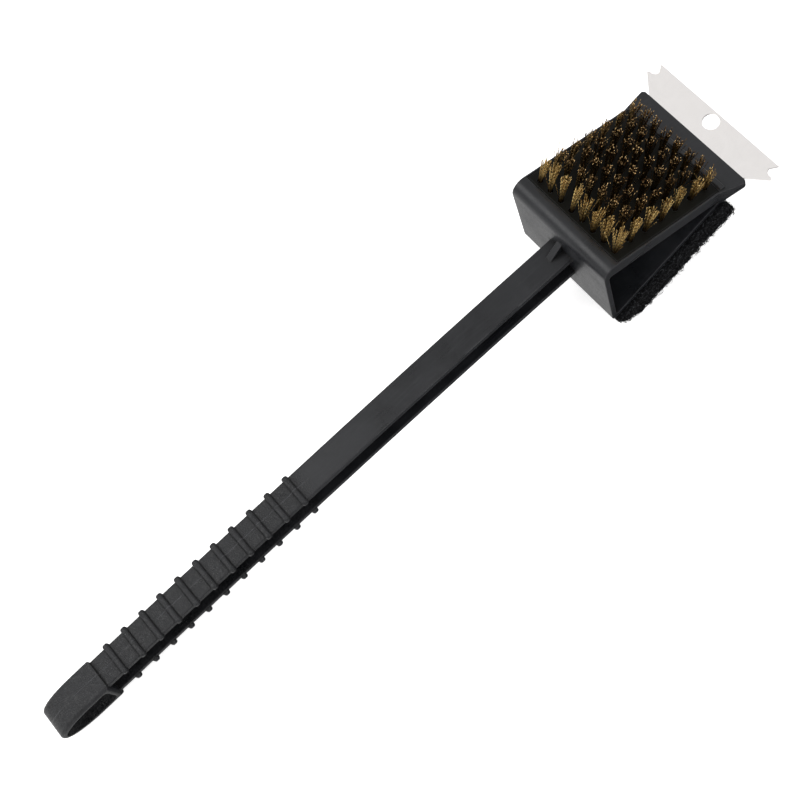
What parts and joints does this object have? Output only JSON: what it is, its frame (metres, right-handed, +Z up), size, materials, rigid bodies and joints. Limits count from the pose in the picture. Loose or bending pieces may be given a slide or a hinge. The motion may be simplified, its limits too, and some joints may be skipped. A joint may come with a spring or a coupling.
{
  "type": "grill cleaning brush",
  "caption": "Three-way grill brush: moulded wedge head with brass wire tufts on top, a notched scraper blade in front, a scouring pad below, and a long ribbed handle with a hanging loop.",
  "frame": {"origin": "centre of the footprint's box, on the surface that the brush lies on, pad down", "axes": "+X from the hanging loop to the scraper blade, +Y to the left, +Z up, through the tufts"},
  "size_m": [0.45, 0.089, 0.0817],
  "materials": {
    "black_plastic": "satin moulded polypropylene, black",
    "block_plastic": "satin moulded polypropylene, black with an olive cast",
    "brass_wire": "crimped brass wire, bright",
    "anchor_steel": "plain drawn steel strip",
    "scraper_steel": "bright rolled stainless sheet, faint grain",
    "scouring_fibre": "coarse open non-woven abrasive fibre, black",
    "adhesive": "dull cured adhesive"
  },
  "bodies": {
    "root": {"handle_and_head_frame": "black_plastic", "bristle_block": "block_plastic", "scraper_blade": "scraper_steel", "scouring_pad": "scouring_fibre", "pad_adhesive": "adhesive", "tuft_line_1": "brass_wire", "tuft_anchors_1": "anchor_steel", "tuft_line_2": "brass_wire", "tuft_anchors_2": "anchor_steel", "tuft_line_3": "brass_wire", "tuft_anchors_3": "anchor_steel", "tuft_line_4": "brass_wire", "tuft_anchors_4": "anchor_steel", "tuft_line_5": "brass_wire", "tuft_anchors_5": "anchor_steel", "tuft_line_6": "brass_wire", "tuft_anchors_6": "anchor_steel", "tuft_line_7": "brass_wire", "tuft_anchors_7": "anchor_steel", "tuft_line_8": "brass_wire", "tuft_anchors_8": "anchor_steel"}
  },
  "joints": []
}
